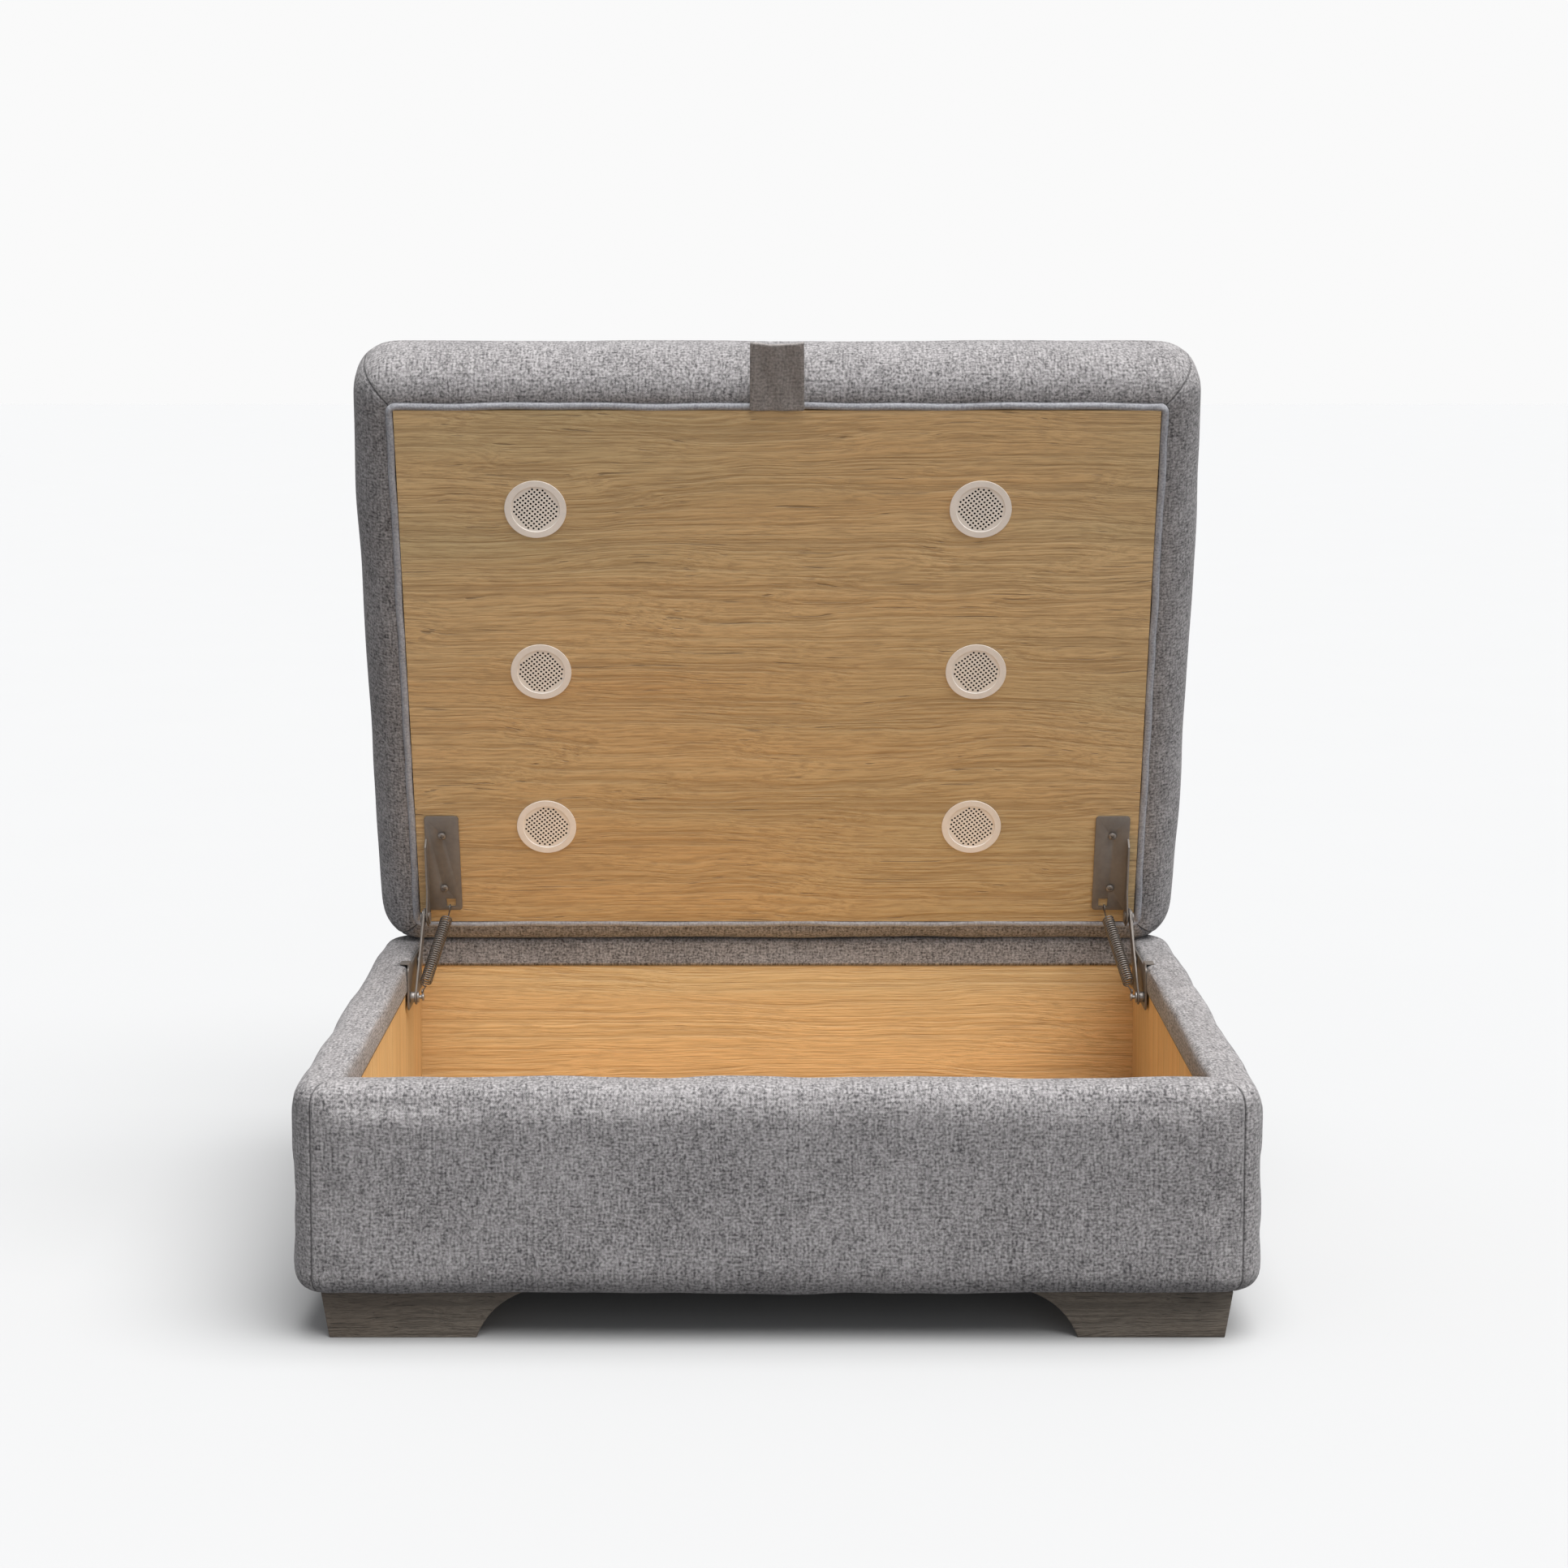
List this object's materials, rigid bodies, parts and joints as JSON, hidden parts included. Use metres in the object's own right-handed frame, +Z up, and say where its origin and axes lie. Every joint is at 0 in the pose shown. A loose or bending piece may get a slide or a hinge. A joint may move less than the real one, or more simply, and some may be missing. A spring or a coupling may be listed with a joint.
{
  "type": "ottoman with storage",
  "caption": "Upholstered storage ottoman with a cushioned lid held open on spring-loaded lift hinges over a wood-lined box on block feet.",
  "frame": {"origin": "on the floor, under the middle of the bounding box of the open ottoman", "axes": "+Z up, +Y towards the hinged back, +X to the right seen from the front"},
  "size_m": [0.96, 0.8064, 0.9818],
  "materials": {
    "upholstery": "matte",
    "tab_cloth": "matte",
    "binding": "matte",
    "foam": "matte",
    "lining": "matte",
    "lid_oak": "satin",
    "box_oak": "satin",
    "batten": "matte",
    "foot_wood": "satin",
    "hinge_steel": "satin",
    "spring_steel": "satin",
    "screw_steel": "satin",
    "vent_metal": "satin"
  },
  "bodies": {
    "base": {"back_left_block": "batten", "back_left_foot": "foot_wood", "back_left_foot_bolt": "screw_steel", "back_pad": "upholstery", "back_panel": "box_oak", "back_right_block": "batten", "back_right_foot": "foot_wood", "back_right_foot_bolt": "screw_steel", "dust_cover": "lining", "floor_panel": "box_oak", "front_left_block": "batten", "front_left_foot": "foot_wood", "front_left_foot_bolt": "screw_steel", "front_pad": "upholstery", "front_panel": "box_oak", "front_right_block": "batten", "front_right_foot": "foot_wood", "front_right_foot_bolt": "screw_steel", "left_base_plate": "hinge_steel", "left_base_screw_1": "screw_steel", "left_base_screw_2": "screw_steel", "left_pad": "upholstery", "left_panel": "box_oak", "left_rear_pivot_rivet": "hinge_steel", "left_stud_rivet": "hinge_steel", "right_base_plate": "hinge_steel", "right_base_screw_1": "screw_steel", "right_base_screw_2": "screw_steel", "right_pad": "upholstery", "right_panel": "box_oak", "right_rear_pivot_rivet": "hinge_steel", "right_stud_rivet": "hinge_steel"},
    "lid": {"left_flange_rivet": "hinge_steel", "left_lid_plate": "hinge_steel", "left_lid_screw_1": "screw_steel", "left_lid_screw_2": "screw_steel", "lid_binding": "binding", "lid_board": "lid_oak", "lid_cover": "upholstery", "lid_foam": "foam", "pull_tab": "tab_cloth", "right_flange_rivet": "hinge_steel", "right_lid_plate": "hinge_steel", "right_lid_screw_1": "screw_steel", "right_lid_screw_2": "screw_steel", "vent_left_1": "vent_metal", "vent_left_2": "vent_metal", "vent_left_3": "vent_metal", "vent_right_1": "vent_metal", "vent_right_2": "vent_metal", "vent_right_3": "vent_metal"},
    "left_front_arm": {"left_front_arm": "hinge_steel"},
    "left_rear_arm": {"left_rear_arm": "hinge_steel", "left_rear_arm_rivet": "hinge_steel"},
    "left_spring": {"left_spring": "spring_steel"},
    "right_front_arm": {"right_front_arm": "hinge_steel"},
    "right_rear_arm": {"right_rear_arm": "hinge_steel", "right_rear_arm_rivet": "hinge_steel"},
    "right_spring": {"right_spring": "spring_steel"}
  },
  "joints": [
    {"name": "lid_fold", "type": "hinge", "parent": "left_front_arm", "child": "lid", "pos_m": [-0.4191, 0.25603, 0.29796], "axis": [1, 0, 0], "range_deg": [0, 102.66], "stiffness_Nm_per_rad": 4, "springref_deg": -137.51},
    {"name": "left_front_arm_pivot", "type": "hinge", "parent": "base", "child": "left_front_arm", "pos_m": [-0.4191, 0.16443, 0.22012], "axis": [1, 0, 0], "range_deg": [-32.24, 0]},
    {"name": "left_rear_arm_pivot", "type": "hinge", "parent": "base", "child": "left_rear_arm", "pos_m": [-0.4229, 0.23817, 0.24697], "axis": [1, 0, 0], "range_deg": [-55.55, 0]},
    {"name": "left_spring_swing", "type": "hinge", "parent": "base", "child": "left_spring", "pos_m": [-0.413, 0.16443, 0.22012], "axis": [1, 0, 0], "range_deg": [-18.11, 0], "deforming": ["left_spring"]},
    {"name": "right_front_arm_pivot", "type": "hinge", "parent": "base", "child": "right_front_arm", "pos_m": [0.4191, 0.16443, 0.22012], "axis": [1, 0, 0], "range_deg": [-32.24, 0]},
    {"name": "right_rear_arm_pivot", "type": "hinge", "parent": "base", "child": "right_rear_arm", "pos_m": [0.4229, 0.23817, 0.24697], "axis": [1, 0, 0], "range_deg": [-55.55, 0]},
    {"name": "right_spring_swing", "type": "hinge", "parent": "base", "child": "right_spring", "pos_m": [0.413, 0.16443, 0.22012], "axis": [1, 0, 0], "range_deg": [-18.11, 0], "deforming": ["right_spring"]}
  ],
  "couplings": [
    {"joint": "left_front_arm_pivot", "follows": "lid_fold", "ratio": -0.31386},
    {"joint": "left_rear_arm_pivot", "follows": "lid_fold", "ratio": -0.5409},
    {"joint": "left_spring_swing", "follows": "lid_fold", "ratio": -0.17623},
    {"joint": "right_front_arm_pivot", "follows": "lid_fold", "ratio": -0.31386},
    {"joint": "right_rear_arm_pivot", "follows": "lid_fold", "ratio": -0.5409},
    {"joint": "right_spring_swing", "follows": "lid_fold", "ratio": -0.17623}
  ]
}
